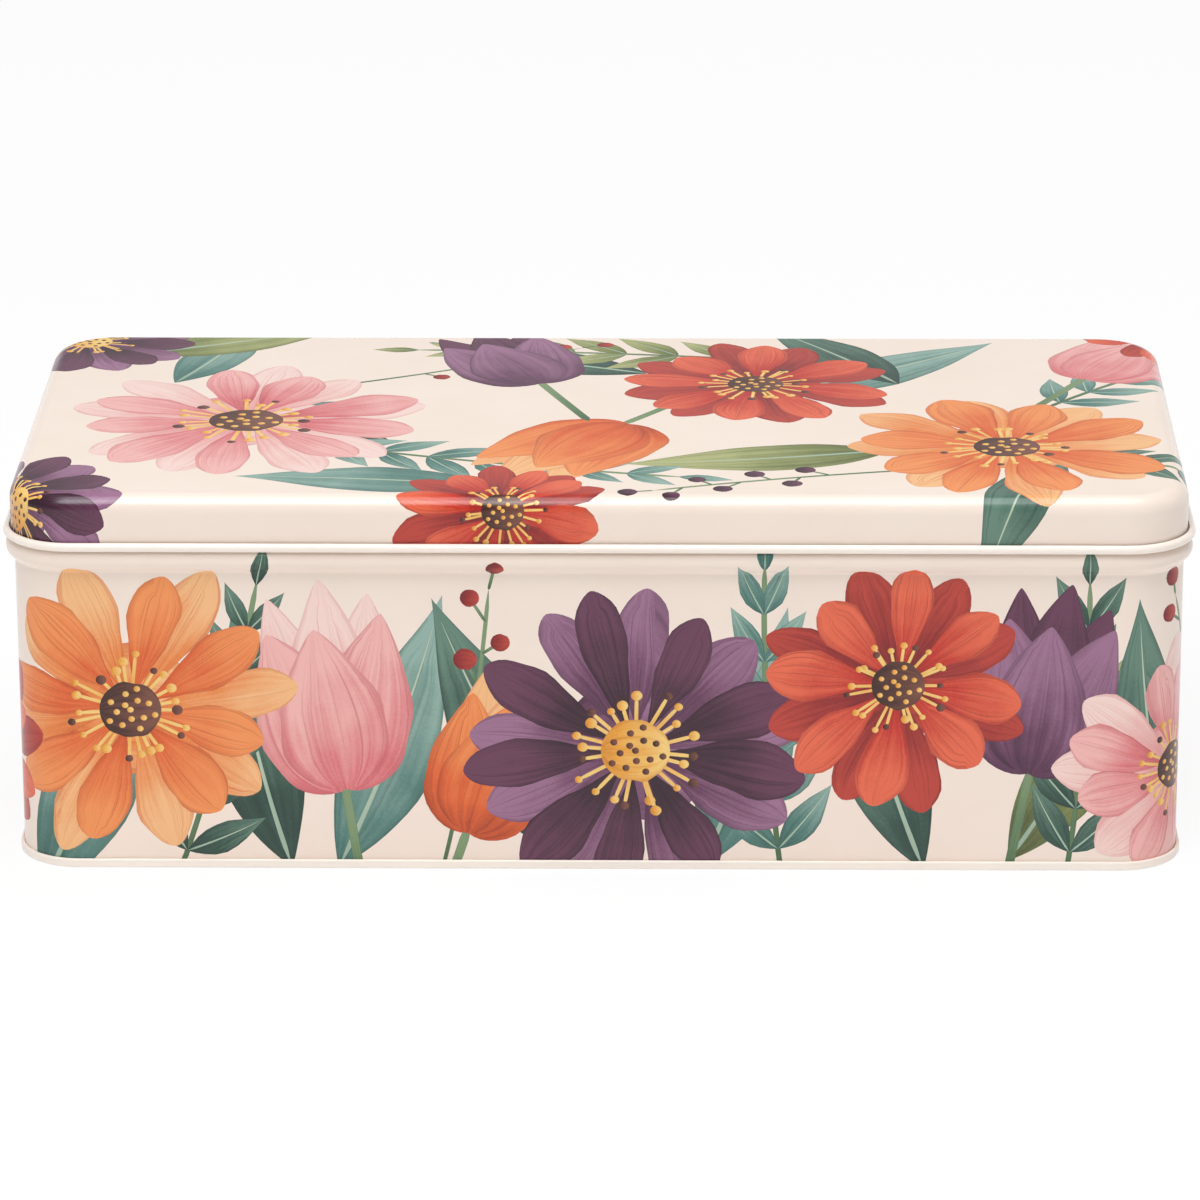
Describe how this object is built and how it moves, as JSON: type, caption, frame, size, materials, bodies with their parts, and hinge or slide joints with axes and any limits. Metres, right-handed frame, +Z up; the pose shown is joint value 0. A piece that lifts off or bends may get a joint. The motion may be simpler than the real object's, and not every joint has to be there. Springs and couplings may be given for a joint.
{
  "type": "slip-lid storage tin",
  "caption": "Long rectangular tinplate storage tin with rounded corners, a stop bead under the rim, a seamed base and a slip lid that lifts off; printed with a loose floral design.",
  "frame": {"origin": "centre of the foot, on the surface the tin stands on", "axes": "+X along the tin to the right, +Y to the back, +Z up the way the lid lifts"},
  "size_m": [0.2546, 0.1246, 0.084],
  "materials": {
    "printed_wall": "printed and varnished tinplate, semi-gloss",
    "enamelled_base": "plain enamelled tinplate, semi-gloss",
    "printed_lid": "printed and varnished tinplate, semi-gloss"
  },
  "bodies": {
    "tin": {"body_wall": "printed_wall", "base_panel": "enamelled_base"},
    "lid": {"lid": "printed_lid"}
  },
  "joints": [
    {"name": "lid_lift", "type": "slide", "parent": "tin", "child": "lid", "axis": [0, 0, 1], "range_m": [0, 0.08]}
  ]
}
